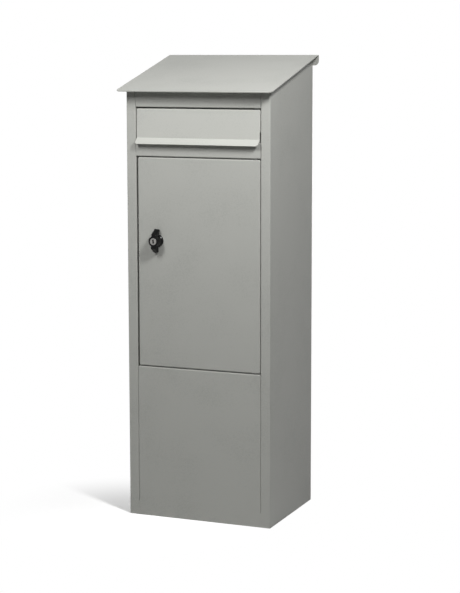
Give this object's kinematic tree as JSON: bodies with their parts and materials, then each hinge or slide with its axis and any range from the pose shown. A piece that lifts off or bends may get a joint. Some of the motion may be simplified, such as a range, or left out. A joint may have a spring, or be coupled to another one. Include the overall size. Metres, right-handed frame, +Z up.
{
  "type": "pillar mailbox",
  "caption": "Free-standing folded sheet-metal mailbox with a sloping roof, a letter flap, a lockable door with a wing knob and a closed pedestal for floor anchors.",
  "frame": {"origin": "on the floor, in the middle of the base's footprint, at the centre of the four anchor holes", "axes": "+Z up; -Y is the front with the door; +X is the right-hand side seen from the front, where the door's hinge is"},
  "size_m": [0.356, 0.2913, 1],
  "materials": {
    "grey_paint": "satin powder coat",
    "zinc_plated_steel": "zinc plated",
    "rubber": "matt",
    "nylon": "matt",
    "black_plastic": "satin",
    "nickel": "satin nickel"
  },
  "bodies": {
    "cabinet": {"cabinet_shell": "grey_paint", "top_rail": "grey_paint", "middle_rail": "grey_paint", "lower_front_panel": "grey_paint", "base_tray": "grey_paint", "compartment_floor": "grey_paint", "floor_ledge_left": "grey_paint", "floor_ledge_right": "grey_paint", "roof": "grey_paint", "roof_rivets": "grey_paint", "flap_hinge_rod": "zinc_plated_steel", "flap_rod_caps": "zinc_plated_steel", "flap_bumpers": "rubber", "upper_hinge_pin": "zinc_plated_steel", "lower_hinge_pin": "zinc_plated_steel", "lower_hinge_washer": "nylon"},
    "door": {"door": "grey_paint", "lock_housing": "black_plastic", "lock_nut": "zinc_plated_steel", "upper_hinge_washer": "nylon"},
    "flap": {"mail_flap": "grey_paint"},
    "knob": {"wing_knob": "black_plastic", "lock_spindle": "zinc_plated_steel", "latch_cam": "zinc_plated_steel", "cam_screw": "zinc_plated_steel"},
    "plug": {"lock_plug": "nickel"}
  },
  "joints": [
    {"name": "flap_hinge", "type": "hinge", "parent": "cabinet", "child": "flap", "pos_m": [0, -0.1235, 0.88404], "axis": [-1, 0, 0], "range_deg": [0, 90]},
    {"name": "door_hinge", "type": "hinge", "parent": "cabinet", "child": "door", "pos_m": [0.12975, -0.1235, 0.5596], "axis": [0, 0, 1], "range_deg": [0, 110]},
    {"name": "knob_turn", "type": "hinge", "parent": "door", "child": "knob", "pos_m": [-0.094, -0.134, 0.6077], "axis": [0, -1, 0], "range_deg": [0, 90]},
    {"name": "key_turn", "type": "hinge", "parent": "knob", "child": "plug", "pos_m": [-0.094, -0.15, 0.6077], "axis": [0, 1, 0], "range_deg": [0, 90]}
  ]
}
